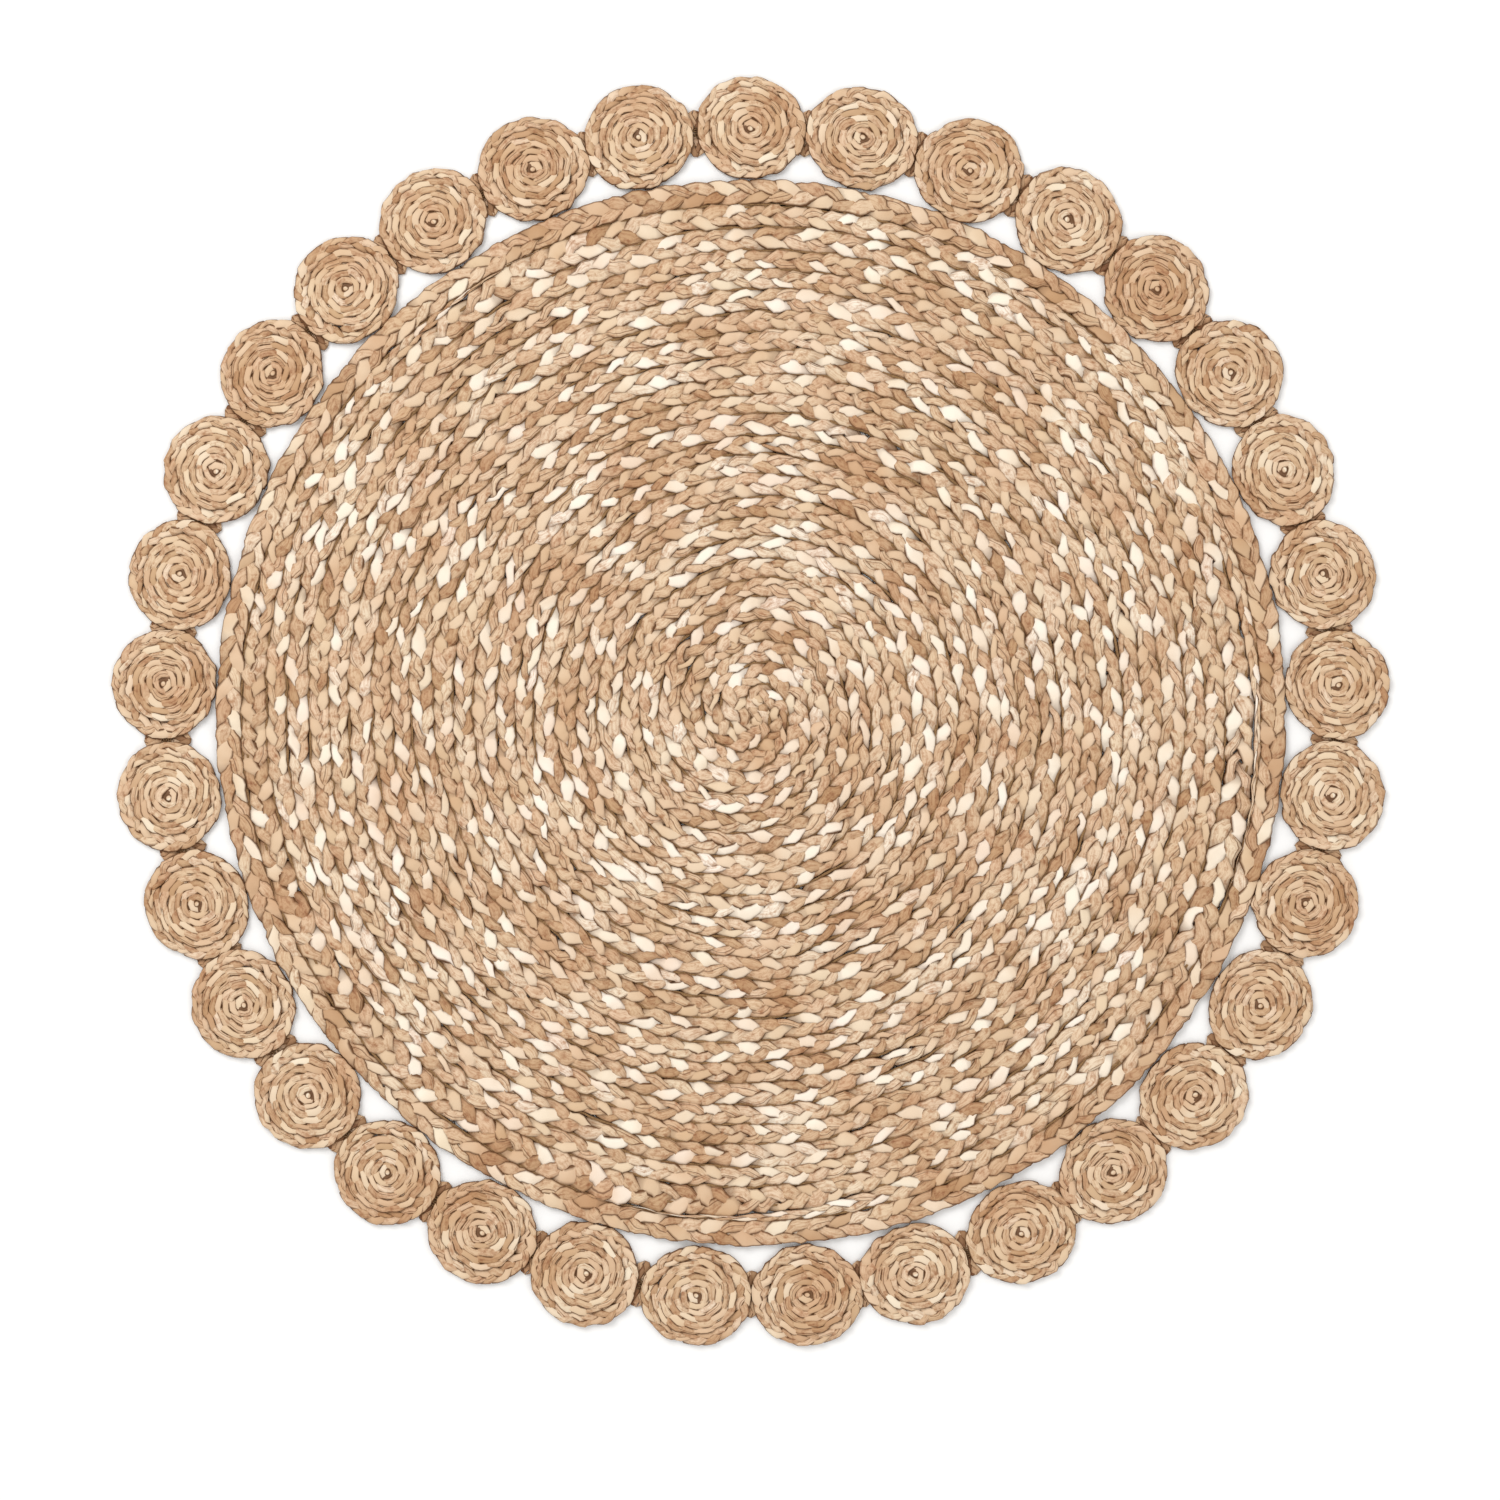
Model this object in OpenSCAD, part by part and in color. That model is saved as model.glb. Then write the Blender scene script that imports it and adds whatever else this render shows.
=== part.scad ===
// Round area rug of plaited plant fibre. The field is three long three-strand braids, one
// wide and two narrow, wound side by side from the middle outwards, clockwise as seen
// from above. A heavier braid runs once around them, and a ring of small coiled
// medallions is sewn to that border and, over short links, to each other.
// The origin is the middle of the underside, and Z points up from the floor.

/* [Overall] */
// Diameter over the outer edges of the medallions
rug_d = 1206; // [1000:1:1500]
// Number of medallions in the ring around the field
medallion_count = 33; // [24:1:40]

/* [Field] */
// Width that the wide braid takes up, with its half of the thread on each side
wide_braid_w = 24; // [20:0.5:30]
// Width that each narrow braid takes up, in the same way
narrow_braid_w = 17; // [12:0.5:22]
// Thickness of the field braids
field_t = 8; // [6:0.5:12]
// Angle by which the whole coil is turned, clockwise as seen from above
field_turn = 145; // [0:5:360]

/* [Border] */
// Width of the heavier braid around the field
border_w = 22.5; // [16:0.5:30]
// Thickness of the border braid
border_t = 9; // [6:0.5:12]

/* [Medallions] */
// Width of the flat outer turn of a medallion
outer_turn_w = 14; // [10:0.5:18]
// Thickness of the flat outer turn
outer_turn_t = 7.5; // [6:0.5:10]
// Turns of braid standing on edge inside the flat turn
edge_turns = 6; // [4:1:8]
// Height of the braid standing on edge
edge_h = 10.5; // [8:0.5:14]
// Space between two turns of the braid standing on edge
edge_gap = 0.3; // [0.2:0.1:0.5]
// Space from a medallion to its neighbours and to the border, which the stitches fill
medallion_gap = 0.6; // [0.3:0.1:1]

/* [Links] */
// Length of the short braid under each meeting of two medallions
link_l = 45; // [30:1:50]
// Width of that short braid
link_w = 15; // [10:0.5:18]
// Thickness of that short braid
link_t = 3.5; // [2:0.1:3.5]

/* [Sewing] */
// Width of the thread that lies between two turns of the field
thread_w = 0.8; // [0.6:0.1:1.2]
// Height of that thread
thread_h = 2; // [1:0.1:2]
// Length of a stitch along the place where two pieces meet
stitch_l = 4; // [2:0.5:6]
// Height of a stitch
stitch_h = 1.6; // [1:0.1:1.6]

/* [Hidden] */
$fn = 240;

// Edge of every braid is bevelled by this part of its thickness
bevel_share = 0.25;
// Width at which a field braid that runs out against the border is cut off
tip_w = 2;
// The last half-turn of a medallion's coil runs this far into the flat turn
run_in = 0.5;
// The folded start of a medallion's coil is this much lower than its turns
start_dip = 1;

step = 360 / medallion_count;
ring_r = (rug_d + medallion_gap) / 2 / (1 + sin(step / 2));
medallion_r = ring_r * sin(step / 2) - medallion_gap / 2;
meeting_r = ring_r * cos(step / 2);
coil_r = medallion_r - outer_turn_w;
edge_pitch = coil_r / edge_turns;

border_outer_r = ring_r - medallion_r - medallion_gap;
border_inner_r = border_outer_r - border_w;
field_r = border_inner_r - thread_w;

// The three field braids lie side by side in one band, which winds outwards by its own
// width in each turn. Half-turn -1 is the small one that closes the middle.
band_w = wide_braid_w + 2 * narrow_braid_w;
first_half_turn = -1;
last_half_turn = ceil(2 * field_r / band_w + 0.5);

// Middle of each braid in the band, from the middle of the band outwards
dark_braid_at = -(wide_braid_w + narrow_braid_w) / 2;
wide_braid_at = 0;
light_braid_at = (wide_braid_w + narrow_braid_w) / 2;
seams_at = [-wide_braid_w / 2, wide_braid_w / 2, band_w / 2];

straw = "BurlyWood";
pale_straw = "Wheat";
brown_straw = "Peru";
dark_straw = "Tan";
thread_color = "Khaki";

function medallion_angle(i) = 90 - (i - 1) * step;
function medallion_name(i) = str("medallion_", i < 10 ? "0" : "", i);

// Cross-section of a braid, w wide and t thick, standing on the floor line
module braid_section(w, t) {
    bevel = bevel_share * t;
    polygon([
        [-w / 2 + bevel, 0],
        [w / 2 - bevel, 0],
        [w / 2, bevel],
        [w / 2, t - bevel],
        [w / 2 - bevel, t],
        [-w / 2 + bevel, t],
        [-w / 2, t - bevel],
        [-w / 2, bevel]
    ]);
}

// Cross-section of a turn that stands on edge: straight sides and a bevelled top
module edge_section(w, t) {
    bevel = w / 4;
    polygon([
        [-w / 2, 0],
        [w / 2, 0],
        [w / 2, t - bevel],
        [w / 2 - bevel, t],
        [-w / 2 + bevel, t],
        [-w / 2, t - bevel]
    ]);
}

// Half-turn k of a coil, counted from the middle. The centres of the even and the odd
// ones lie a quarter of a pitch to either side of the middle, so that each half-turn
// runs on into the next and the turns lie side by side all the way round.
module half_turn(k, pitch, offset = 0, sweep = 180) {
    side = k % 2 == 0 ? -1 : 1;
    mirror([0, 1, 0])
        translate([side * pitch / 4, 0, 0])
            rotate([0, 0, side < 0 ? 0 : 180])
                rotate_extrude(angle = sweep, start = 0)
                    translate([middle_r(k, pitch) + offset, 0])
                        children();
}

function middle_r(k, pitch) = pitch / 2 * (k + 1);

// Angle after which a point at radius r in a half-turn of the band is farther from the
// middle of the rug than limit
function sweep_inside(r, limit) =
    acos(max(-1, min(1, (r ^ 2 + (band_w / 4) ^ 2 - limit ^ 2) / (r * band_w / 2))));

// The start of a medallion's coil, folded in on itself
module folded_start(pitch, gap, t) {
    cylinder(r = 0.75 * pitch - gap, h = t);
}

// One braid of the field, all the way from the middle until it runs out against the
// border. at is the middle of the braid in the band.
module field_braid(at, w) {
    body_w = w - thread_w;
    inner = at - body_w / 2;
    outer = at + body_w / 2;
    union()
        for (k = [first_half_turn : last_half_turn]) {
            r = middle_r(k, band_w);
            sweep = r + inner > 0 ? sweep_inside(r + inner + tip_w, field_r) : 180;
            reach = r + outer + band_w / 4;
            if (r + inner > 0 && sweep > 1)
                inside_border(reach)
                    half_turn(k, band_w, at, sweep)
                        field_section(body_w, reach > field_r);
        }
}

// Cross-section of a field braid. Its sides are straight where the border cuts into it.
module field_section(w, cut) {
    if (cut)
        translate([-w / 2, 0])
            square([w, field_t]);
    else
        braid_section(w, field_t);
}

// Cuts what reaches past the field, and leaves alone what stays inside it
module inside_border(reach) {
    if (reach > field_r)
        intersection() {
            children();
            cylinder(r = field_r, h = field_t);
        }
    else
        children();
}

module field_braid_wide() {
    color(straw)
        rotate([0, 0, -field_turn])
            union() {
                field_braid(wide_braid_at, wide_braid_w);
                rounded_start(wide_braid_w - thread_w);
            }
}

// The wide braid starts with a round end in the middle of the rug
module rounded_start(w) {
    mirror([0, 1, 0])
        translate([band_w / 4, 0, 0])
            rotate_extrude(angle = 180, start = 180)
                intersection() {
                    braid_section(w, field_t);
                    square([w, field_t]);
                }
}

module field_braid_light() {
    color(pale_straw)
        rotate([0, 0, -field_turn])
            field_braid(light_braid_at, narrow_braid_w);
}

module field_braid_dark() {
    color(brown_straw)
        rotate([0, 0, -field_turn])
            field_braid(dark_braid_at, narrow_braid_w);
}

module border_braid() {
    color(dark_straw)
        rotate_extrude(angle = 360, start = 0)
            translate([border_inner_r + border_w / 2, 0])
                braid_section(border_w, border_t);
}

// One medallion about its own middle
module medallion_coil() {
    folded_start(edge_pitch, edge_gap, edge_h - start_dip);
    intersection() {
        union()
            for (k = [0 : 2 * edge_turns - 1])
                half_turn(k, edge_pitch)
                    edge_section(edge_pitch - edge_gap, edge_h);
        cylinder(r = coil_r + run_in, h = edge_h);
    }
    rotate_extrude(angle = 360, start = 0)
        translate([coil_r + outer_turn_w / 2, 0])
            braid_section(outer_turn_w, outer_turn_t);
}

// A link lies along the radius, half under each of two neighbours
module link(angle) {
    rotate([0, 0, angle])
        translate([meeting_r - link_l / 2, -link_w / 2, 0])
            cube([link_l, link_w, link_t]);
}

// A medallion in its place, pressed over the two links beneath it
module medallion(i) {
    color(straw)
        difference() {
            rotate([0, 0, medallion_angle(i)])
                translate([ring_r, 0, 0])
                    medallion_coil();
            for (side = [-1, 1])
                link(medallion_angle(i) + side * step / 2);
        }
}

module medallion_links() {
    color(dark_straw)
        for (i = [1 : medallion_count])
            link(medallion_angle(i) + step / 2);
}

module thread_section() {
    translate([-thread_w / 2, (field_t - thread_h) / 2])
        square([thread_w, thread_h]);
}

// The thread that holds each field braid to the next one
module field_thread() {
    color(thread_color)
        rotate([0, 0, -field_turn])
            union()
                for (at = seams_at, k = [first_half_turn : last_half_turn]) {
                    r = middle_r(k, band_w) + at;
                    sweep = r > 0 ? sweep_inside(r + thread_w, field_r) : 0;
                    if (sweep > 1)
                        half_turn(k, band_w, at, sweep)
                            thread_section();
                }
}

// The thread that holds the field to the border
module border_thread() {
    color(thread_color)
        rotate_extrude(angle = 360, start = 0)
            translate([field_r + thread_w / 2, 0])
                thread_section();
}

// Stitches between each medallion and the border, and between neighbours
module medallion_stitches() {
    z_border = (outer_turn_t - stitch_h) / 2;
    color(thread_color)
        for (i = [1 : medallion_count]) {
            rotate([0, 0, medallion_angle(i)])
                translate([border_outer_r, -stitch_l / 2, z_border])
                    cube([medallion_gap, stitch_l, stitch_h]);
            rotate([0, 0, medallion_angle(i) + step / 2])
                translate([meeting_r - stitch_l / 2, -medallion_gap / 2, link_t])
                    cube([stitch_l, medallion_gap, stitch_h]);
        }
}

field_braid_wide();
field_braid_light();
field_braid_dark();
border_braid();
for (i = [1 : medallion_count])
    medallion(i);
medallion_links();
field_thread();
border_thread();
medallion_stitches();
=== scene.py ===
import math

import bpy
import numpy as np
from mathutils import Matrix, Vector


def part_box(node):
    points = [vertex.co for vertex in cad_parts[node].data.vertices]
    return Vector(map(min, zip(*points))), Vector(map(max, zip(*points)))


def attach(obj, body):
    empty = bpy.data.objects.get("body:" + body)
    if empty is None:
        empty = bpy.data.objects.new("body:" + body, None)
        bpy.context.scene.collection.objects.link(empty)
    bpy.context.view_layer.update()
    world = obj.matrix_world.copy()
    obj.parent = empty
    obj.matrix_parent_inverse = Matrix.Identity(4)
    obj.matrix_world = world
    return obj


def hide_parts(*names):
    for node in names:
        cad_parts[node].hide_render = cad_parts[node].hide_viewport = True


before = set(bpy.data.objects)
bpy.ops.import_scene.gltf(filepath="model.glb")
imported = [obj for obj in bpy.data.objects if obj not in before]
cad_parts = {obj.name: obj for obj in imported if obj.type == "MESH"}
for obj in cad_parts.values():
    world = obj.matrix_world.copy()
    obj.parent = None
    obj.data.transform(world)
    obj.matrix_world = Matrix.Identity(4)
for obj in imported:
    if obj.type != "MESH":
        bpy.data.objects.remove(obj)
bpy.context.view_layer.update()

mm = 0.001
fullTurn = 2 * math.pi
phaseRange = 6.28  # a chance phase lies between 0 and this

# What all pieces of the rug share
rug = {
    "outOfRound": (0.9972, 0.9937, 1),  # a little narrower and shorter than laid out
    "pressed": 1.008,  # field and border are spread by this much against the medallions
    "floorPress": 0.5 * mm,  # below this height the underside is pressed flat
    "slowWave": 0.9 * mm,  # how far slow waves shift the turns of the coil
    "shortWave": 0.34 * mm,  # the same for the short waves, about 25 mm long
}


def linear(hexColour):
    values = [int(hexColour[i:i + 2], 16) / 255 for i in (1, 3, 5)]
    return tuple(v / 12.92 if v <= 0.04045 else ((v + 0.055) / 1.055) ** 2.4 for v in values) + (1.0,)


# Adds a node with its settings and links. A link may be a socket or a node, whose first
# used output is then taken.
def addNode(tree, kind, settings=None, links=None):
    node = tree.nodes.new(kind)
    for key, value in (settings or {}).items():
        if key == "stops":
            elements = node.color_ramp.elements
            elements.remove(elements[-1])
            for i, (at, colour) in enumerate(value):
                element = elements[0] if i == 0 else elements.new(at)
                element.position = at
                element.color = linear(colour)
        elif isinstance(key, str) and hasattr(node, key):
            setattr(node, key, value)
        else:
            node.inputs[key].default_value = value
    for key, source in (links or {}).items():
        if isinstance(source, bpy.types.Node):
            source = [out for out in source.outputs if out.enabled][0]
        tree.links.new(source, node.inputs[key])
    return node


def readPoints(mesh):
    flat = np.empty(len(mesh.vertices) * 3, dtype=np.float32)
    mesh.vertices.foreach_get("co", flat)
    return flat.reshape(-1, 3).astype(np.float64)


def writePoints(mesh, points):
    mesh.vertices.foreach_set("co", points.astype(np.float32).ravel())
    mesh.update()


def readUVs(mesh):
    layer = mesh.uv_layers.active
    uv = np.empty(len(layer.uv) * 2, dtype=np.float32)
    layer.uv.foreach_get("vector", uv)
    return uv.reshape(-1, 2)


def writeUVs(mesh, uv):
    mesh.uv_layers.active.uv.foreach_set("vector", uv.ravel())


# x and y turned anticlockwise about the origin
def turned(x, y, angle):
    return x * math.cos(angle) - y * math.sin(angle), x * math.sin(angle) + y * math.cos(angle)


# A flat strip, one unit long for each plait length, that is rolled into a strand later.
# U counts plait lengths along it and V goes once across it.
def flatStrip(name, plaitLengths, rings, sides):
    bpy.ops.object.select_all(action="DESELECT")
    bpy.ops.mesh.primitive_grid_add(
        x_subdivisions=rings, y_subdivisions=sides, size=1, location=(0.5, 0.5, 0), calc_uvs=True)
    strip = bpy.context.object
    strip.name = name
    bpy.ops.object.transform_apply(location=True, rotation=True, scale=True)
    if plaitLengths > 1:
        length = strip.modifiers.new("Length", "ARRAY")
        length.count = plaitLengths
        length.use_relative_offset = False
        length.use_constant_offset = True
        length.constant_offset_displace = (1, 0, 0)
        length.use_merge_vertices = True
        length.merge_threshold = 0.001
        length.offset_u = 1
        bpy.ops.object.modifier_apply(modifier=length.name)
    return strip


def joinPieces(name, pieces):
    bpy.ops.object.select_all(action="DESELECT")
    for piece in pieces:
        piece.select_set(True)
    bpy.context.view_layer.objects.active = pieces[0]
    if len(pieces) > 1:
        bpy.ops.object.join()
    piece = bpy.context.object
    piece.name = name
    bpy.ops.object.mode_set(mode="EDIT")
    bpy.ops.mesh.select_all(action="SELECT")
    bpy.ops.mesh.remove_doubles(threshold=0.01 * mm)
    bpy.ops.mesh.normals_make_consistent(inside=False)
    bpy.ops.object.mode_set(mode="OBJECT")
    bpy.ops.object.shade_smooth()
    return piece


# What every three-strand plait shares. Widths are given in half plait widths.
plaitStyle = {
    "reach": 0.5,  # how far a strand swings from the middle line
    "hug": 0.03,  # flattens the turn of the swing
    "body": 0.54,  # half width of a strand
    "waist": 0.26,  # how much narrower it is where it dives or comes up
    "spread": 0.08,  # how much wider it is underneath
    "late": 0.03,  # a strand comes up this part of a plait length after the middle line
    "crest": 0.0,  # where round the strand its upper side lies
    "roll": 0.1,  # how much a strand leans as it swings, in radians
    "looseness": 0.15,  # how uneven the plaiting is
    "square": (1.0, 0.45),  # roundness of a strand's section, sideways and upwards; 1 is round
    "streak": 0.65,  # strength of the darker fibres
    "blotch": 0.75,  # strength of the weathered patches
    "doubled": 0.35,  # share of the tan strands that are two stalks side by side
}


# Values that change from lozenge to lozenge and run smoothly between them
def perLozenge(u, plaitLengths, chance, spread):
    lozengeMiddle = np.arange(2 * plaitLengths) / 2 + 0.125
    return np.interp(u, lozengeMiddle, chance.normal(0, spread, 2 * plaitLengths), period=plaitLengths)


# One strand of a flat three-strand plait. Gives the distance along the plait, across it
# and up from its middle plane, for u plait lengths along the strand and v round it.
def strandSurface(u, v, plait, plaitLengths, chance):
    half = plait["width"] / 2
    loose = plait["looseness"]
    swingChange, sideways, lifting, widthChange, thickChange, leaning, slipping = [
        perLozenge(u, plaitLengths, chance, share * loose) for share in (0.5, 0.3, 1, 1.3, 1, 1, 0.25)]

    # the path of the strand's middle
    t = fullTurn * u
    reach = plait["reach"] * half * (1 + swingChange)
    across = reach * (np.sin(t) + plait["hug"] * np.sin(3 * t)) + half * sideways
    weave = np.sin(2 * (t - fullTurn * plait["late"]))  # 1 on top, -1 underneath
    up = plait["lift"] * weave + plait["lift"] * lifting
    slope = fullTurn / plait["length"] * reach * (np.cos(t) + 3 * plait["hug"] * np.cos(3 * t))
    size = np.sqrt(1 + slope ** 2)

    # its section, a flattened ring that leans as the strand swings
    diving = 1 - np.abs(weave) ** 0.8
    under = 0.5 - 0.5 * weave
    wide = half * (plait["body"] - plait["waist"] * diving + plait["spread"] * under)
    wide = wide * (1 + widthChange)
    thick = plait["strandThickness"] / 2 * (1 + thickChange)
    roll = -plait["roll"] * np.sin(t) * weave + leaning
    angle = fullTurn * (v - plait["crest"])
    side = np.sign(np.sin(angle)) * np.abs(np.sin(angle)) ** plait["square"][0] * wide
    top = -np.sign(np.cos(angle)) * np.abs(np.cos(angle)) ** plait["square"][1] * thick
    lateral = side * np.cos(roll) - top * np.sin(roll)
    height = side * np.sin(roll) + top * np.cos(roll)
    along = plait["length"] * u + plait["length"] * slipping - slope / size * lateral

    # the neighbouring plaits press the sides of this one nearly straight
    pressFrom, pressDepth = 0.78, 0.2
    reached = (across + lateral / size) / half
    over = np.maximum(np.abs(reached) - pressFrom, 0)
    reached = np.sign(reached) * (
        np.minimum(np.abs(reached), pressFrom) + pressDepth * np.tanh(over / pressDepth))
    return along, half * reached, up + height


# Three strands of one plait, each passed through place, which lays the plait in its coil.
# taper gives the plait lengths over which the first and the last end narrow to a point.
def makePlait(name, plait, plaitLengths, place, seed, taper=None):
    chance = np.random.default_rng(seed)
    edgeGap = 0.002  # keeps V inside its strand's number
    strands = []
    for strand in range(3):
        strip = flatStrip(name, plaitLengths, plait["rings"], plait["sides"])
        points = readPoints(strip.data)
        u, v = points[:, 0], points[:, 1]
        behind = strand / 3
        along, across, up = strandSurface(u - behind, v, plait, plaitLengths, chance)
        along = along + behind * plait["length"]
        if taper:
            toEnd = np.clip(np.minimum(u / taper[0], (plaitLengths - u) / taper[1]), 0, 1)
            keep = np.sqrt(np.clip(1 - (1 - toEnd) ** 2, 0, 1))
            straight = plait["length"] * u
            along = straight + (along - straight) * keep
            across = across * keep
            up = up * keep
        writePoints(strip.data, place(along, across, up))
        uv = readUVs(strip.data)
        uv[:, 0] -= behind + 0.17 * plait["crest"]
        uv[:, 1] = np.clip(uv[:, 1], edgeGap, 1 - edgeGap) + strand
        writeUVs(strip.data, uv)
        strands.append(strip)
    return joinPieces(name, strands)


def finishPiece(piece, material, node):
    points = readPoints(piece.data) * rug["outOfRound"]
    low = rug["floorPress"]
    z = points[:, 2]
    points[:, 2] = np.where(z < low, low * np.exp(np.minimum(z / low - 1, 0)), z)
    writePoints(piece.data, points)
    piece.data.materials.clear()
    piece.data.materials.append(material)
    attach(piece, "root")
    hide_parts(node)


straw = {
    "white": "#f5ebde",
    "pale": "#f1e5d4",
    "cream": "#ebdcc5",
    "light": "#e6d4bc",
    "tan": "#e0c7aa",
    "deep": "#d4b797",
    "brown": "#bf9b76",
    "dark": "#7d5230",
    "fibre": "#bb8c5e",  # multiplied in along the fibres
    "blotch": "#b98a5c",  # multiplied in at the weathered patches
    "cloud": "#dcbb97",  # multiplied in where one bundle of stalks is browner
    # line: the dark line between two stalks of a strand, and the painted shade at a strand's sides
    "line": "#66401f",
    # groove: painted shade low down between the strands
    "groove": "#5f3c20",
}


# Dried water hyacinth stalk, split, softened and plaited by hand: matt with a faint silky
# sheen, fine fibres along each strand, and a colour that changes from stalk to stalk.
# The plait's paleStrand colours its first strand, and otherStrands the other two. It is
# painted darker, as shade, from the upper to the lower of its groove heights.
def hyacinth(name, plait):
    material = bpy.data.materials.new(name)
    material.use_nodes = True
    tree = material.node_tree
    tree.nodes.clear()

    # each lozenge of a strand has its own number, and its own chance colour from it; a
    # number changes where the strand is hidden, a little before the half plait length
    uv = addNode(tree, "ShaderNodeUVMap")
    split = addNode(tree, "ShaderNodeSeparateXYZ", links={0: uv})
    u, v = split.outputs[0], split.outputs[1]
    halves = addNode(tree, "ShaderNodeMath", {"operation": "MULTIPLY_ADD", 1: 2.0, 2: 0.085}, {0: u})
    lozenge = addNode(tree, "ShaderNodeMath", {"operation": "FLOOR"}, {0: halves})
    strand = addNode(tree, "ShaderNodeMath", {"operation": "FLOOR"}, {0: v})
    cell = addNode(tree, "ShaderNodeCombineXYZ", links={0: lozenge, 1: strand})
    chance = addNode(tree, "ShaderNodeTexWhiteNoise", {"noise_dimensions": "2D"}, {"Vector": cell})
    paleColour = addNode(tree, "ShaderNodeValToRGB", {"stops": plait["paleStrand"]},
                         {0: chance.outputs["Value"]})
    otherColour = addNode(tree, "ShaderNodeValToRGB", {"stops": plait["otherStrands"]},
                          {0: chance.outputs["Value"]})

    # fibres: real ones are about 0.5 mm across, drawn 1.3 mm wide and 11 mm long to show
    girth = plait["width"] * 0.9 + plait["strandThickness"]
    alongFibre = addNode(tree, "ShaderNodeMath",
                         {"operation": "MULTIPLY", 1: plait["length"] / (11 * mm)}, {0: u})
    acrossFibre = addNode(tree, "ShaderNodeMath",
                          {"operation": "MULTIPLY", 1: girth / (1.3 * mm)}, {0: v})
    fibreAt = addNode(tree, "ShaderNodeCombineXYZ", links={0: alongFibre, 1: acrossFibre, 2: lozenge})
    fibre = addNode(tree, "ShaderNodeTexNoise", {"Scale": 1.0, "Detail": 4.0, "Roughness": 0.7},
                    {"Vector": fibreAt})
    fibreMask = addNode(tree, "ShaderNodeMapRange",
                        {"From Min": 0.45, "From Max": 0.68, "To Max": plait["streak"]}, {"Value": fibre})
    streaked = addNode(tree, "ShaderNodeMix",
                       {"data_type": "RGBA", "blend_type": "MULTIPLY", 7: linear(straw["fibre"])},
                       {0: fibreMask, 6: otherColour})

    # blotches about 6 mm across, weathered patches on the tan stalks
    place = addNode(tree, "ShaderNodeTexCoord")
    blotch = addNode(tree, "ShaderNodeTexNoise", {"Scale": 160.0, "Detail": 4.0, "Roughness": 0.65},
                     {"Vector": place.outputs["Object"]})
    blotchMask = addNode(tree, "ShaderNodeMapRange",
                         {"From Min": 0.5, "From Max": 0.7, "To Max": plait["blotch"]}, {"Value": blotch})
    blotched = addNode(tree, "ShaderNodeMix",
                       {"data_type": "RGBA", "blend_type": "MULTIPLY", 7: linear(straw["blotch"])},
                       {0: blotchMask, 6: streaked})

    # some tan strands are two stalks side by side, with a dark line between them
    cast = addNode(tree, "ShaderNodeSeparateColor", links={0: chance.outputs["Color"]})
    around = addNode(tree, "ShaderNodeMath", {"operation": "FRACT"}, {0: v})
    seamAt = addNode(tree, "ShaderNodeMapRange", {"To Min": 0.36, "To Max": 0.64}, {"Value": cast.outputs[0]})
    fromSeam = addNode(tree, "ShaderNodeMath", {"operation": "SUBTRACT"}, {0: around, 1: seamAt})
    seamGap = addNode(tree, "ShaderNodeMath", {"operation": "ABSOLUTE"}, {0: fromSeam})
    seamLine = addNode(tree, "ShaderNodeMapRange",
                       {"From Min": 0.018, "From Max": 0.006, "To Max": 0.75}, {"Value": seamGap})
    seamThere = addNode(tree, "ShaderNodeMath", {"operation": "LESS_THAN", 1: plait["doubled"]},
                        {0: cast.outputs[2]})
    seamMask = addNode(tree, "ShaderNodeMath", {"operation": "MULTIPLY"}, {0: seamLine, 1: seamThere})
    doubled = addNode(tree, "ShaderNodeMix", {"data_type": "RGBA", 7: linear(straw["line"])},
                      {0: seamMask, 6: blotched})

    # one strand of the three is paler than the others
    third = addNode(tree, "ShaderNodeMath", {"operation": "MODULO", 1: 3.0}, {0: strand})
    isPale = addNode(tree, "ShaderNodeMath", {"operation": "LESS_THAN", 1: 0.5}, {0: third})
    base = addNode(tree, "ShaderNodeMix", {"data_type": "RGBA"}, {0: isPale, 6: doubled, 7: paleColour})

    # each bundle of stalks has its own cast, a little pink or a little yellow
    castColour = addNode(tree, "ShaderNodeValToRGB",
                         {"stops": [(0.0, "#fbebe0"), (0.5, "#faf5ea"), (1.0, "#f6efd8")]},
                         {0: cast.outputs[1]})
    toned = addNode(tree, "ShaderNodeMix", {"data_type": "RGBA", "blend_type": "MULTIPLY", 0: 0.35},
                    {6: base, 7: castColour})

    # slow change of tone over the rug, about 70 mm across
    cloud = addNode(tree, "ShaderNodeTexNoise", {"Scale": 14.0, "Detail": 3.0},
                    {"Vector": place.outputs["Object"]})
    cloudMask = addNode(tree, "ShaderNodeMapRange",
                        {"From Min": 0.42, "From Max": 0.66, "To Max": 0.5}, {"Value": cloud})
    clouded = addNode(tree, "ShaderNodeMix",
                      {"data_type": "RGBA", "blend_type": "MULTIPLY", 7: linear(straw["cloud"])},
                      {0: cloudMask, 6: toned})

    # painted shade: the two sides of a strand, where it tucks in beside the next one, are painted dark
    angle = addNode(tree, "ShaderNodeMath", {"operation": "MULTIPLY", 1: fullTurn}, {0: v})
    upward = addNode(tree, "ShaderNodeMath", {"operation": "COSINE"}, {0: angle})
    upDown = addNode(tree, "ShaderNodeMath", {"operation": "ABSOLUTE"}, {0: upward})
    sideShadeMask = addNode(tree, "ShaderNodeMapRange",
                       {"From Min": 0.72, "From Max": 0.36, "To Max": 0.95}, {"Value": upDown})
    sideShaded = addNode(tree, "ShaderNodeMix", {"data_type": "RGBA", 7: linear(straw["line"])},
                    {0: sideShadeMask, 6: clouded})

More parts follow.
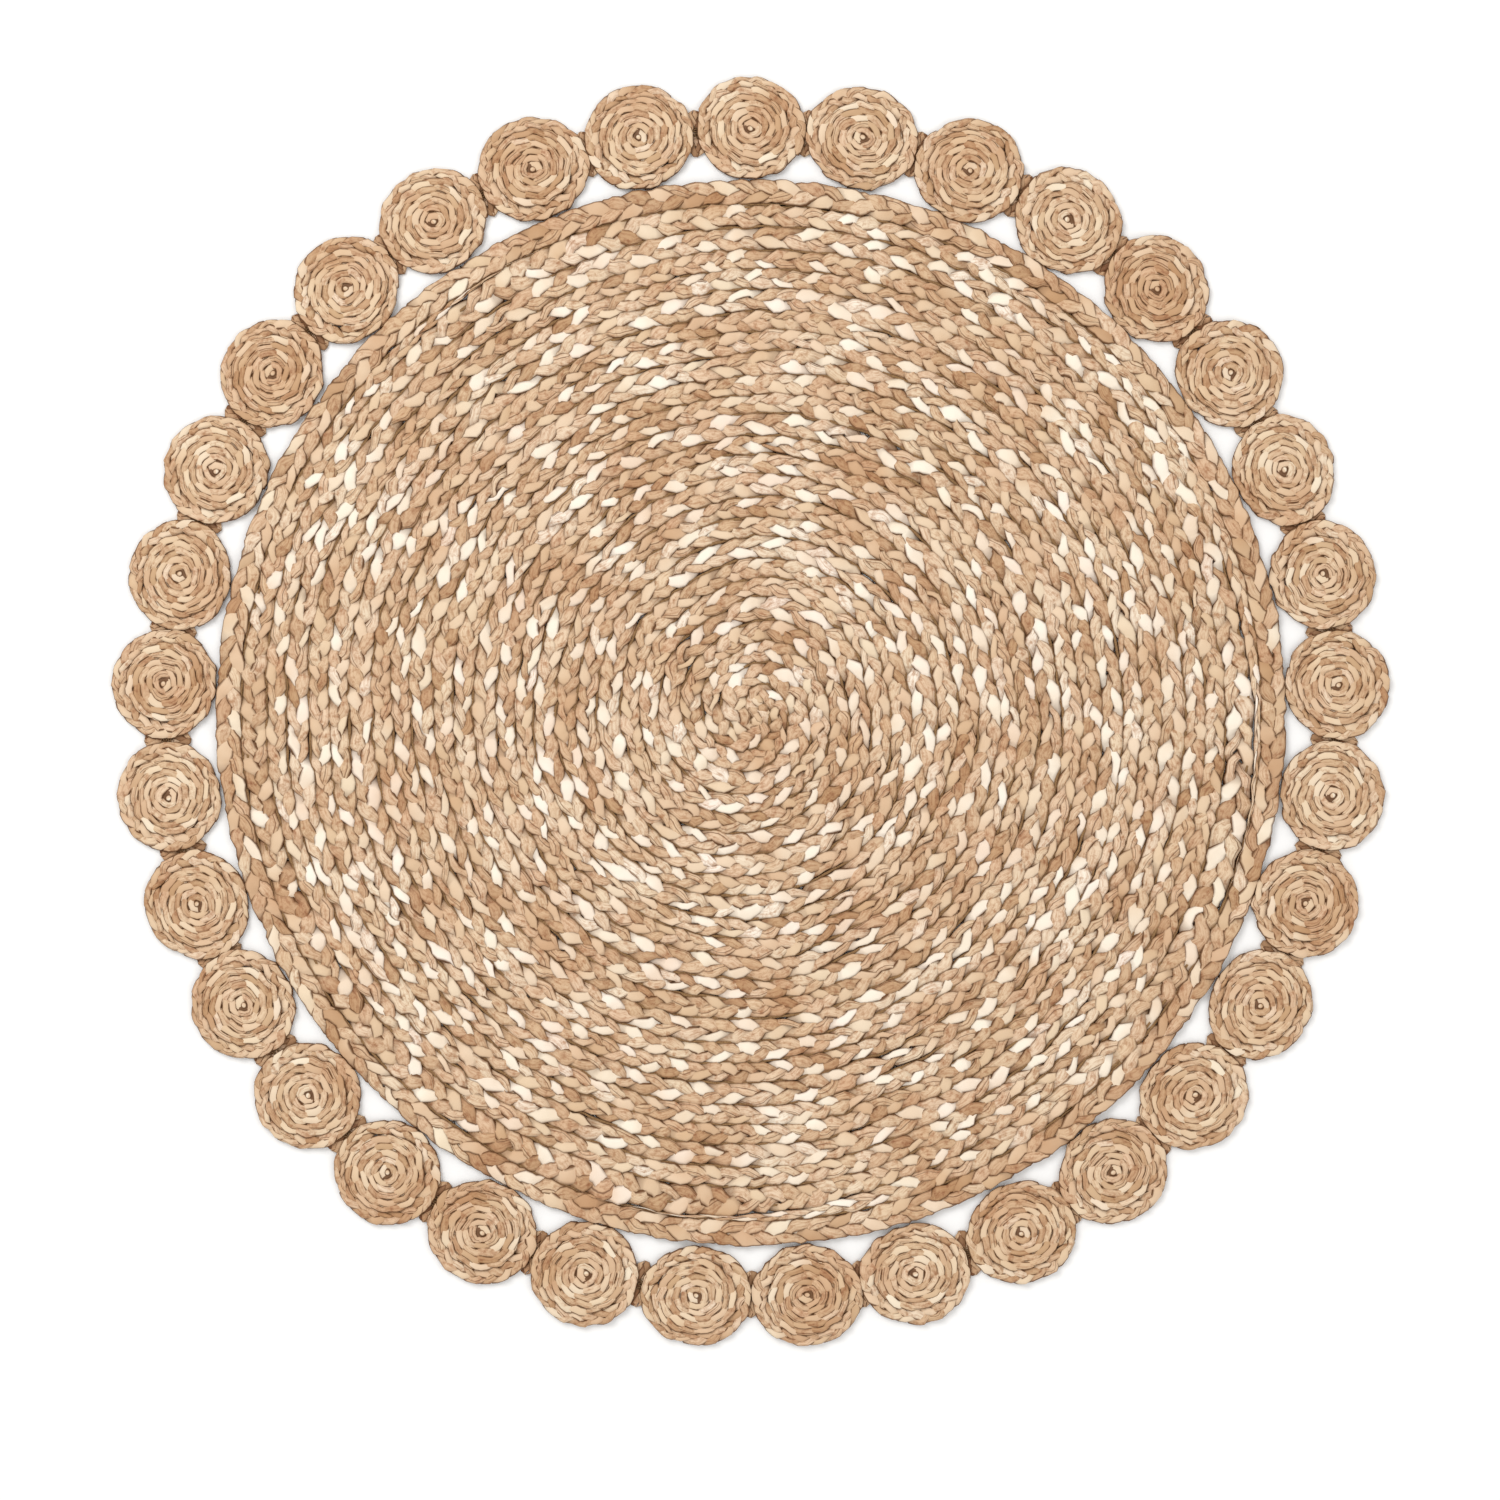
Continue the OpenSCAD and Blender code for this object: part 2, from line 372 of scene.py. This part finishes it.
    # painted shade: the strands are painted darker low down, where they dive under each other
    height = addNode(tree, "ShaderNodeSeparateXYZ", links={0: place.outputs["Object"]})
    deep = addNode(tree, "ShaderNodeMapRange",
                   {"From Min": plait["groove"][1], "From Max": plait["groove"][0], "To Max": 0.7},
                   {"Value": height.outputs[2]})
    colour = addNode(tree, "ShaderNodeMix", {"data_type": "RGBA", 7: linear(straw["groove"])},
                     {0: deep, 6: sideShaded})

    bump = addNode(tree, "ShaderNodeBump", {"Strength": 0.5, "Distance": 0.5 * mm}, {"Height": fibre})
    shader = addNode(tree, "ShaderNodeBsdfPrincipled", {"Roughness": 0.62, "Specular IOR Level": 0.35},
                     {"Base Color": colour, "Normal": bump})
    addNode(tree, "ShaderNodeOutputMaterial", links={"Surface": shader})
    return material


# Jute thread, spun and left matt and hairy: mottled along its length, with a rough grain
# about 1 mm long, twice as coarse as the real one so that it shows
def juteThread(name):
    material = bpy.data.materials.new(name)
    material.use_nodes = True
    tree = material.node_tree
    tree.nodes.clear()
    place = addNode(tree, "ShaderNodeTexCoord")
    grain = addNode(tree, "ShaderNodeTexNoise", {"Scale": 1200.0, "Detail": 2.0},
                    {"Vector": place.outputs["Object"]})
    colour = addNode(tree, "ShaderNodeValToRGB", {"stops": [(0.3, "#6f4f31"), (0.7, "#9a7850")]}, {0: grain})
    bump = addNode(tree, "ShaderNodeBump", {"Strength": 0.4, "Distance": 0.3 * mm}, {"Height": grain})
    shader = addNode(tree, "ShaderNodeBsdfPrincipled", {"Roughness": 0.8, "Specular IOR Level": 0.25},
                     {"Base Color": colour, "Normal": bump})
    addNode(tree, "ShaderNodeOutputMaterial", links={"Surface": shader})
    return material


# The field is one band of three plaits, wound as a coil of half-turns from two centres.
# The band is as wide as in the plan; sewing has evened out its plaits, so the wide one has
# 2.5 mm less room here and the narrow ones share it.
field = {
    "wideRoom": 21.5 * mm,
    "narrowRoom": 18.25 * mm,
    "thickness": 8.0 * mm,
    "turn": 145,  # the coil is turned clockwise by this many degrees
    "seam": 0.8 * mm,  # room of the thread between field and border
    "tuck": 12 * mm,  # the first end lies this far under the middle
    "fineLengths": 7.0,  # the plait is finer over about this many plait lengths
    "fineness": 0.35,  # how much shorter its first plait lengths are
}
border = {
    "width": 22.5 * mm,
    "thickness": 9.0 * mm,
    "inward": 0.6 * mm,  # the plait lies this much nearer to the field than the middle
}
band = field["wideRoom"] + 2 * field["narrowRoom"]
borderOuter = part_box("border_braid")[1][0]
fieldEdge = borderOuter - border["width"] - field["seam"]
plaitStep = (field["wideRoom"] + field["narrowRoom"]) / 2

tanStrands = [(0.0, straw["white"]), (0.06, straw["pale"]), (0.08, straw["light"]),
              (0.48, straw["tan"]), (0.9, straw["deep"]), (1.0, straw["brown"])]
brownStrands = [(0.0, straw["pale"]), (0.03, straw["light"]), (0.2, straw["tan"]),
                (0.7, straw["deep"]), (1.0, straw["brown"])]
deepStrands = [(0.0, straw["light"]), (0.15, straw["tan"]), (0.6, straw["deep"]), (1.0, straw["brown"])]
# groove heights: the painted shade begins at the upper one and is full at the lower one
fieldStyle = {**plaitStyle, "lift": 1.6 * mm, "strandThickness": 4.6 * mm, "sides": 9,
              "groove": (3.6 * mm, 6.2 * mm)}
fieldPlaits = {
    "wide": {
        **fieldStyle, "width": 24.5 * mm, "length": 63 * mm, "rings": 14, "seed": 11,
        "at": 0.0, "room": field["wideRoom"], "roomBeyond": field["narrowRoom"],
        "finish": "Water hyacinth, cream and tan",
        "paleStrand": [(0.0, straw["white"]), (0.8, straw["pale"]), (0.84, straw["light"]),
                       (1.0, straw["tan"])],
        "otherStrands": tanStrands,
    },
    "light": {
        **fieldStyle, "width": 21.2 * mm, "length": 55 * mm, "rings": 12, "seed": 12,
        "at": plaitStep, "room": field["narrowRoom"], "roomBeyond": field["narrowRoom"],
        "finish": "Water hyacinth, tan and cream",
        "paleStrand": [(0.0, straw["white"]), (0.5, straw["pale"]), (0.56, straw["light"]),
                       (1.0, straw["tan"])],
        "otherStrands": tanStrands,
    },
    "dark": {
        **fieldStyle, "width": 21.2 * mm, "length": 50 * mm, "rings": 12, "seed": 13,
        "at": -plaitStep, "room": field["narrowRoom"], "roomBeyond": field["wideRoom"],
        "finish": "Water hyacinth, brown",
        "paleStrand": [(0.0, straw["white"]), (0.3, straw["pale"]), (0.35, straw["tan"]),
                       (1.0, straw["deep"])],
        "otherStrands": brownStrands,
    },
}

waveChance = np.random.default_rng(5)


# Waves over the whole rug, each with its direction, its number (radians in a metre), its
# phase, the direction of its shift and its size
def makeWaves(count, low, high, amount):
    return [(waveChance.uniform(0, fullTurn), waveChance.uniform(low, high),
             waveChance.uniform(0, phaseRange), waveChance.uniform(0, phaseRange), amount)
            for i in range(count)]


slowWaves = makeWaves(9, 22, 60, rug["slowWave"])
shortWaves = makeWaves(14, 150, 330, rug["shortWave"])


# Shifts all pieces together by the waves, so that neighbours still touch
def drift(x, y, waves, fade=1.0):
    dx = np.zeros_like(x)
    dy = np.zeros_like(x)
    for direction, number, phase, shiftTo, amount in waves:
        wave = amount * np.sin(number * (x * math.cos(direction) + y * math.sin(direction)) + phase)
        dx += wave * math.cos(shiftTo)
        dy += wave * math.sin(shiftTo)
    return x + dx * fade, y + dy * fade


# The half-turns of one plait in the band: their number, their radii and where each starts
# along the plait
def halfTurns(at, width):
    number = []
    radius = []
    for k in range(-1, 40):
        r = band / 2 * (k + 1) + at
        if r - width / 2 > -1 * mm and r - band / 4 - width / 2 < fieldEdge:
            number.append(k)
            radius.append(r)
    radius = np.array(radius)
    start = np.concatenate([[0], np.cumsum(math.pi * radius)])
    return np.array(number), radius, start


# Where one side of a plait lies, r from its half-turn's centre, when the field's edge is at
# reach. A plait next to the border is spread until it fills the room up to the border,
# and the one outside it, with the room beyond, has ended there.
def sideOf(r, reach, beyond):
    left = reach - r
    spread = np.clip((0.85 * beyond - left) / (0.4 * beyond), 0, 1)
    spread = spread * spread * (3 - 2 * spread)
    return np.minimum(r + left * spread, reach)


def coilFrame(along, at, width):
    number, radius, start = halfTurns(at, width)
    index = np.clip(np.searchsorted(start, along, side="right") - 1, 0, len(radius) - 1)
    r = radius[index]
    even = number[index] % 2 == 0
    centre = np.where(even, -band / 4, band / 4)
    heading = np.where(even, 0, math.pi) - np.maximum((along - start[index]) / r, 0)
    # distance from this half-turn's centre to the field's edge, in this direction
    reach = -centre * np.cos(heading) + np.sqrt(fieldEdge ** 2 - (centre * np.sin(heading)) ** 2)
    return r, even, centre, heading, reach


# Lays a point of a plait in the coil
def inCoil(along, across, up, at, width, beyond):
    r, even, centre, heading, reach = coilFrame(along, at, width)
    inner = sideOf(r - width / 2, reach, width)
    outer = sideOf(r + width / 2, reach, beyond)
    rho = (inner + outer) / 2 + across * np.maximum(outer - inner, 0.2 * mm) / width
    x = centre + rho * np.cos(heading)
    y = rho * np.sin(heading)
    y = np.where(along < 0, y + np.where(even, -1, 1) * along, y)
    fade = np.clip(1 - (np.hypot(x, y) / fieldEdge) ** 6, 0, 1)
    x, y = drift(x, y, slowWaves, fade)
    x, y = drift(x, y, shortWaves)
    x, y = turned(x, y, -math.radians(field["turn"]))
    return np.column_stack([rug["pressed"] * x, rug["pressed"] * y, field["thickness"] / 2 + up])


# Length along the plait at which it has ended at the border
def coilLength(at, width):
    number, radius, start = halfTurns(at, width)
    along = np.linspace(start[-5], start[-1] - 1e-6, 8000)
    r, even, centre, heading, reach = coilFrame(along, at, width)
    gone = reach - (r - width / 2) < 0.46 * width
    return along[np.argmax(gone)] if gone.any() else along[-1]


# The plait is finer at the start of the coil and reaches its full length a few turns out
def fineStart(along, length):
    u = along / length
    count = field["fineLengths"]
    return length * (u - field["fineness"] * count * (1 - np.exp(-np.maximum(u, 0) / count)))


def makeFieldPlait(name, plait):
    total = coilLength(plait["at"], plait["room"])
    plaitLengths = int(math.ceil(total / plait["length"] + field["fineness"] * field["fineLengths"]))

    def place(along, across, up):
        along = np.minimum(fineStart(along, plait["length"]) - field["tuck"], total)
        return inCoil(along, across, up, plait["at"], plait["room"], plait["roomBeyond"])

    piece = makePlait("field_plait_" + name, plait, plaitLengths, place, plait["seed"], taper=(0.12, 0.5))
    print("field plait", name, "plait lengths", plaitLengths, "length", round(total, 2), "m,",
          len(piece.data.polygons), "faces")
    return piece


for name, plait in fieldPlaits.items():
    finishPiece(makeFieldPlait(name, plait), hyacinth(plait["finish"], plait),
                "field_braid_" + name)


borderPlait = {
    **plaitStyle, "width": 25.0 * mm, "length": 60 * mm, "rings": 16, "sides": 10, "seed": 21,
    "reach": 0.55, "hug": 0.06, "body": 0.53, "waist": 0.24, "spread": 0.1, "late": 0.02,
    "lift": 1.7 * mm, "strandThickness": 5.2 * mm, "looseness": 0.13,
    "streak": 0.6, "blotch": 0.7, "groove": (3.6 * mm, 6.6 * mm),
    "paleStrand": [(0.0, straw["pale"]), (0.2, straw["cream"]), (0.24, straw["light"]),
                   (0.42, straw["tan"]), (0.8, straw["deep"]), (1.0, straw["brown"])],
    "otherStrands": deepStrands,
}


def makeBorder():
    middle = borderOuter - border["width"] / 2 - border["inward"]
    plaitLengths = round(fullTurn * middle / borderPlait["length"])

    def place(along, across, up):
        heading = along / (plaitLengths * borderPlait["length"]) * fullTurn
        rho = middle + across
        x, y = drift(rho * np.cos(heading), rho * np.sin(heading), shortWaves)
        return np.column_stack([rug["pressed"] * x, rug["pressed"] * y, border["thickness"] / 2 + up])

    piece = makePlait("border_plait", borderPlait, plaitLengths, place, borderPlait["seed"])
    print("border plait", plaitLengths, "plait lengths,", len(piece.data.polygons), "faces")
    return piece


finishPiece(makeBorder(), hyacinth("Water hyacinth, heavy plait", borderPlait),
            "border_braid")


medallion = {
    "count": 33,
    "patterns": 3,  # medallions that are plaited on their own; the rest are turned copies
    "flatWidth": 14.0 * mm,
    "flatThickness": 7.5 * mm,
    "edgeHeight": 10.5 * mm,
    "turns": 6,
    "firstRadius": 0.3,  # the coil starts this many turns' widths from the middle
    "unwound": 0.28,  # part of the last turn that is missing
    "overlap": 1.0 * mm,  # of the flat turn over the coil
    "coreTop": 7.6 * mm,
    "coreBottom": 2.8 * mm,
    "knot": 4.4 * mm,  # radius
}
links = {"length": 45 * mm, "width": 15 * mm, "thickness": 3.5 * mm}
medallionNames = ["medallion_%02d" % (i + 1) for i in range(medallion["count"])]
medallionBoxes = [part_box(name) for name in medallionNames]
medallionPlace = [((low[0] + high[0]) / 2, (low[1] + high[1]) / 2) for low, high in medallionBoxes]
medallionRadius = (medallionBoxes[0][1][0] - medallionBoxes[0][0][0]) / 2
ringRadius = medallionPlace[0][1]
stepAngle = fullTurn / medallion["count"]
meetingRadius = ringRadius * math.cos(stepAngle / 2)  # where two neighbours touch

flatPlait = {
    **plaitStyle, "width": 14.4 * mm, "length": 42 * mm, "rings": 12, "sides": 8, "spread": 0.16,
    "lift": 1.3 * mm, "strandThickness": 4.7 * mm, "streak": 0.6, "blotch": 0.7,
    "groove": (3.0 * mm, 5.4 * mm),
    "paleStrand": [(0.0, straw["cream"]), (0.06, straw["light"]), (0.25, straw["tan"]),
                   (0.8, straw["deep"]), (1.0, straw["brown"])],
    "otherStrands": deepStrands,
}
edgePlait = {
    **plaitStyle, "width": 10.0 * mm, "length": 44 * mm, "rings": 11, "sides": 7,
    "hug": 0.0, "body": 0.5, "waist": 0.05, "spread": 0.0, "late": 0.0, "crest": 0.25,
    "lift": 1.0 * mm, "strandThickness": 7.0 * mm, "roll": 0.05, "looseness": 0.1,
    "square": (0.45, 0.7),
}


def makeMedallion(name, seed):
    coilRadius = medallionRadius - medallion["flatWidth"]
    pitch = coilRadius / medallion["turns"]
    middle = medallionRadius - medallion["flatWidth"] / 2
    plaitLengths = round(fullTurn * middle / flatPlait["length"])

    # the flat turn is spread inwards until it meets the coil that stands on edge, and
    # closes in on the turn inside where that coil ends
    def placeFlat(along, across, up):
        heading = -along / (plaitLengths * flatPlait["length"]) * fullTurn
        partTurn = np.mod(-heading / fullTurn, 1)
        first, before, after = medallion["firstRadius"], 0.66, 0.76
        lastTurn = medallion["turns"] - 1 + np.interp(
            partTurn, [0, before, after, 1], [first, first + before, first + after - 1, first])
        inner = (lastTurn + 0.5) * pitch - medallion["overlap"]
        rho = (medallionRadius + inner) / 2 + across * (medallionRadius - inner) / medallion["flatWidth"]
        z = medallion["flatThickness"] / 2 + up
        return np.column_stack([rho * np.cos(heading), rho * np.sin(heading), z])

    outer = makePlait(name, flatPlait, plaitLengths, placeFlat, seed)

    swept = np.linspace(0, fullTurn * (medallion["turns"] - medallion["unwound"]), 4000)
    rhoAt = pitch * medallion["firstRadius"] + pitch * swept / fullTurn
    steps = np.hypot(np.diff(rhoAt), (rhoAt[1:] + rhoAt[:-1]) / 2 * np.diff(swept))
    alongAt = np.concatenate([[0], np.cumsum(steps)])
    edgeLengths = round(alongAt[-1] / edgePlait["length"])

    # the coil on edge: lower in the middle, and a little lower at the outside
    def placeEdge(along, across, up):
        along = np.clip(along * alongAt[-1] / (edgeLengths * edgePlait["length"]), 0, alongAt[-1])
        heading = -np.interp(along, alongAt, swept)
        rho = np.interp(along, alongAt, rhoAt)
        outside = np.clip((rho - coilRadius + 1.2 * pitch) / pitch, 0, 1)
        low = np.clip(1 - along / (20 * mm), 0, 1)
        z = medallion["edgeHeight"] / 2 + across * (1 - 0.12 * outside - 0.35 * low)
        z = z - 0.4 * mm * outside - 1.4 * mm * low
        rho = np.maximum(rho + up, 0.2 * mm)
        return np.column_stack([rho * np.cos(heading), rho * np.sin(heading), z])

    inner = makePlait(name, edgePlait, edgeLengths, placeEdge, seed + 1, taper=(0.1, 0.25))

    # the inner sides of the turns fill the coil up to just under its top
    top, bottom = medallion["coreTop"], medallion["coreBottom"]
    bpy.ops.mesh.primitive_cylinder_add(
        vertices=32, radius=coilRadius - 2 * mm, depth=top - bottom, location=(0, 0, (top + bottom) / 2))
    bpy.ops.object.transform_apply(location=True, rotation=True, scale=True)
    core = bpy.context.object

    # the tucked-in end of the plait, a small knot in the middle
    bpy.ops.mesh.primitive_uv_sphere_add(
        segments=12, ring_count=8, radius=medallion["knot"], location=(0.6 * mm, 0, 5.0 * mm))
    bpy.ops.object.transform_apply(location=True, rotation=True, scale=True)
    return joinPieces(name, [outer, inner, core, bpy.context.object])


# Turns, bends and lays the points of one medallion in its place in the ring
def layMedallion(points, index, chance):
    placeX, placeY = medallionPlace[index]
    x, y = turned(points[:, 0], points[:, 1], chance.uniform(0, fullTurn))
    # no two are quite round or quite the same size, and all are a little wider than deep
    heading = np.arctan2(y, x)
    swell = (1 + 0.012 * np.sin(2 * heading + chance.uniform(0, phaseRange))
             + 0.008 * np.sin(3 * heading + chance.uniform(0, phaseRange)))
    x, y = drift(x * swell, y * swell, shortWaves[index % 3::3], 1.6)
    x = x * chance.uniform(0.99, 1.02)
    y = y * chance.uniform(0.925, 0.96)
    outward = math.atan2(placeY, placeX)
    x, y = turned(x, y, outward - math.pi / 2)
    x += placeX + chance.normal(0, 0.5 * mm)
    y += placeY + chance.normal(0, 0.5 * mm)

    # the plait rises over the link that lies under each meeting, up to the height top
    z = points[:, 2]
    top = 8.5 * mm
    rise = 5 * mm
    angle = np.arctan2(y, x)
    for side in (-1, 1):
        meeting = outward + side * stepAngle / 2
        off = np.abs(np.hypot(x, y) * np.sin(angle - meeting))
        far = np.abs(np.hypot(x, y) * np.cos(angle - meeting) - meetingRadius)
        over = np.clip((14 * mm - off) / rise, 0, 1) * np.clip((28 * mm - far) / rise, 0, 1)
        lift = links["thickness"] * 0.9 * over
        z = np.where(lift > 0, lift + z * (top - lift) / top, z)
    return np.column_stack([x, y, z])


baseMedallions = [makeMedallion("medallion_base_%d" % i, 31 + 2 * i) for i in range(medallion["patterns"])]
print("medallion", len(baseMedallions[0].data.polygons), "faces each")

medallionMaterial = hyacinth("Water hyacinth, fine plait", flatPlait)
layChance = np.random.default_rng(77)
for i, name in enumerate(medallionNames):
    base = baseMedallions[i % medallion["patterns"]]
    piece = base.copy()
    piece.data = base.data.copy()
    bpy.context.collection.objects.link(piece)
    piece.name = "coil_" + name
    writePoints(piece.data, layMedallion(readPoints(piece.data), i, layChance))
    uv = readUVs(piece.data)
    uv[:, 1] += 3 * i  # new strand numbers give it its own colours
    writeUVs(piece.data, uv)
    finishPiece(piece, medallionMaterial, name)
for base in baseMedallions:
    bpy.data.objects.remove(base)


linkRow = [(0.0, straw["tan"]), (0.3, straw["deep"]), (0.7, straw["brown"]), (1.0, straw["dark"])]
linkPlait = {
    **plaitStyle, "width": links["width"], "length": 36 * mm, "rings": 12, "sides": 8,
    "reach": 0.58, "hug": 0.0, "body": 0.44, "waist": 0.1, "spread": 0.1, "late": 0.0,
    "lift": 0.8 * mm, "strandThickness": 2.0 * mm, "looseness": 0.08, "square": (0.7, 0.4),
    "streak": 0.6, "blotch": 0.7, "groove": (0.5 * mm, 1.2 * mm),
    "paleStrand": linkRow, "otherStrands": linkRow, "seed": 200,
}


# The direction from the middle of the rug to a medallion, or with a half added to its
# number, to where it meets the next one
def ringHeading(number):
    return math.radians(90) - number * stepAngle


def makeLinks():
    pieces = []
    for i in range(medallion["count"]):
        heading = ringHeading(i + 0.5)

        def place(along, across, up):
            rho = meetingRadius + (along - linkPlait["length"] / 2) * links["length"] / linkPlait["length"]
            x, y = turned(rho, across, heading)
            return np.column_stack([x, y, links["thickness"] / 2 + up])

        pieces.append(makePlait("link", linkPlait, 1, place, linkPlait["seed"] + i, taper=(0.12, 0.12)))
    return joinPieces("link_plaits", pieces)


finishPiece(makeLinks(), hyacinth("Water hyacinth, dark short plait", linkPlait),
            "medallion_links")
print("links done")


thread = {
    "radius": 0.55 * mm,
    "step": 14 * mm,  # length of a stitch along the seam
    "shortStep": 4.2 * mm,  # the same between medallions
    "reach": 3.2 * mm,  # how far a stitch goes to each side of the seam
    "height": 1.0 * mm,
    "run": 1.7 * mm,  # radius of the thread that fills the seam
    "runHeight": 4.0 * mm,
    "rings": 2,
    "sides": 5,
}


# The parts of both kinds of thread: a strip, u stitches along it, the angle round it, and
# how much of its thickness is kept towards its ends
def threadStrip(name, stitches):
    strip = flatStrip(name, stitches, thread["rings"], thread["sides"])
    points = readPoints(strip.data)
    u = points[:, 0]
    return strip, u, fullTurn * points[:, 1], np.clip(np.minimum(u, stitches - u) / 0.2, 0, 1)


# A thread that crosses a seam from side to side
def zigzag(name, stitches, step, place):
    strip, u, angle, keep = threadStrip(name, stitches)
    swing = np.abs(2 * (u - np.floor(u)) - 1) * 2 - 1
    across = thread["reach"] * swing
    along = step * u + 1.2 * thread["radius"] * np.sin(angle) * keep
    up = thread["height"] - 0.4 * mm * np.abs(swing) - thread["radius"] * np.cos(angle) * keep
    writePoints(strip.data, place(along, across, up))
    return joinPieces(name, [strip])


# The thread that runs along a seam, between the two plaits
def threadRun(name, stitches, place):
    strip, u, angle, keep = threadStrip(name, stitches)
    across = thread["run"] * np.sin(angle) * keep
    up = thread["runHeight"] - thread["run"] * np.cos(angle) * keep
    writePoints(strip.data, place(thread["step"] * u, across, up))
    return joinPieces(name, [strip])


def makeFieldStitching():
    pieces = []
    seamWidth = 1 * mm
    for at in (-field["wideRoom"] / 2, field["wideRoom"] / 2, band / 2):
        stitches = int((coilLength(at, seamWidth) - 20 * mm) / thread["step"])

        def place(along, across, up):
            return inCoil(along, across, up - field["thickness"] / 2, at, seamWidth, seamWidth)

        pieces.append(zigzag("field_stitching", stitches, thread["step"], place))
        pieces.append(threadRun("field_stitching", stitches, place))
    return joinPieces("field_stitching", pieces)


def makeBorderStitching():
    stitches = round(fullTurn * fieldEdge / thread["step"])

    def place(along, across, up):
        heading = along / (stitches * thread["step"]) * fullTurn
        rho = rug["pressed"] * (fieldEdge + across)
        return np.column_stack([rho * np.cos(heading), rho * np.sin(heading), up])

    pieces = [zigzag("border_stitching", stitches, thread["step"], place),
              threadRun("border_stitching", stitches, place)]
    return joinPieces("border_stitching", pieces)


# Three stitches hold each medallion to the border, and three to the next medallion
def makeMedallionStitching():
    stitches = 3
    pieces = []
    for i in range(medallion["count"]):

        def toBorder(along, across, up):
            along = along - stitches / 2 * thread["shortStep"]
            x, y = turned(ringRadius - medallionRadius - 0.3 * mm + across, along, ringHeading(i))
            return np.column_stack([x, y, up])

        def toNeighbour(along, across, up):
            along = along - stitches / 2 * thread["shortStep"]
            x, y = turned(meetingRadius + along, across, ringHeading(i + 0.5))
            return np.column_stack([x, y, up + links["thickness"] + 0.5 * mm])

        for place in (toBorder, toNeighbour):
            pieces.append(zigzag("medallion_stitching", stitches, thread["shortStep"], place))
    return joinPieces("medallion_stitching", pieces)


juteMaterial = juteThread("Jute sewing thread")
finishPiece(makeFieldStitching(), juteMaterial, "field_thread")
finishPiece(makeBorderStitching(), juteMaterial, "border_thread")
finishPiece(makeMedallionStitching(), juteMaterial, "medallion_stitches")
print("stitching done")


studio = {
    "floor": "#f7f6f4",
    "floorHeight": -0.5 * mm,
    "world": 0.83,
    "lens": 85,  # mm
    "sensor": 36,  # mm
    "viewWidth": 1.406,  # metres of floor across the view
    "viewCentre": (-0.001, -0.035),
    # place, turn in degrees, size in metres, watts
    "key": ((-1.6, 1.7, 3.2), (-30, -28, 0), 2.2, 62),
    "fill": ((1.8, -1.2, 3.4), (22, 28, 0), 3.0, 22),
}

# White studio board, painted matt, without any pattern that shows
bpy.ops.mesh.primitive_plane_add(size=30, location=(0, 0, studio["floorHeight"]))
floor = bpy.context.object
floor.name = "floor"
floorMaterial = bpy.data.materials.new("White studio floor")
floorMaterial.use_nodes = True
floorShader = floorMaterial.node_tree.nodes["Principled BSDF"]
floorShader.inputs["Base Color"].default_value = linear(studio["floor"])
floorShader.inputs["Roughness"].default_value = 0.9
floor.data.materials.append(floorMaterial)


def areaLight(name, place, turn, size, power):
    bpy.ops.object.light_add(type="AREA", location=place, rotation=[math.radians(a) for a in turn])
    light = bpy.context.object
    light.name = name
    light.data.shape = "DISK"
    light.data.size = size
    light.data.energy = power


areaLight("key", *studio["key"])
areaLight("fill", *studio["fill"])

world = bpy.data.worlds.new("Studio")
bpy.context.scene.world = world
world.use_nodes = True
background = world.node_tree.nodes["Background"]
background.inputs[0].default_value = linear("#ffffff")
background.inputs[1].default_value = studio["world"]

cameraData = bpy.data.cameras.new("camera")
cameraData.lens = studio["lens"]
camera = bpy.data.objects.new("camera", cameraData)
bpy.context.collection.objects.link(camera)
camera.location = (*studio["viewCentre"], studio["viewWidth"] * studio["lens"] / studio["sensor"])
camera.rotation_euler = (0, 0, 0)
bpy.context.scene.camera = camera
bpy.context.scene.view_settings.view_transform = "Standard"
print("floor, lights and camera done")
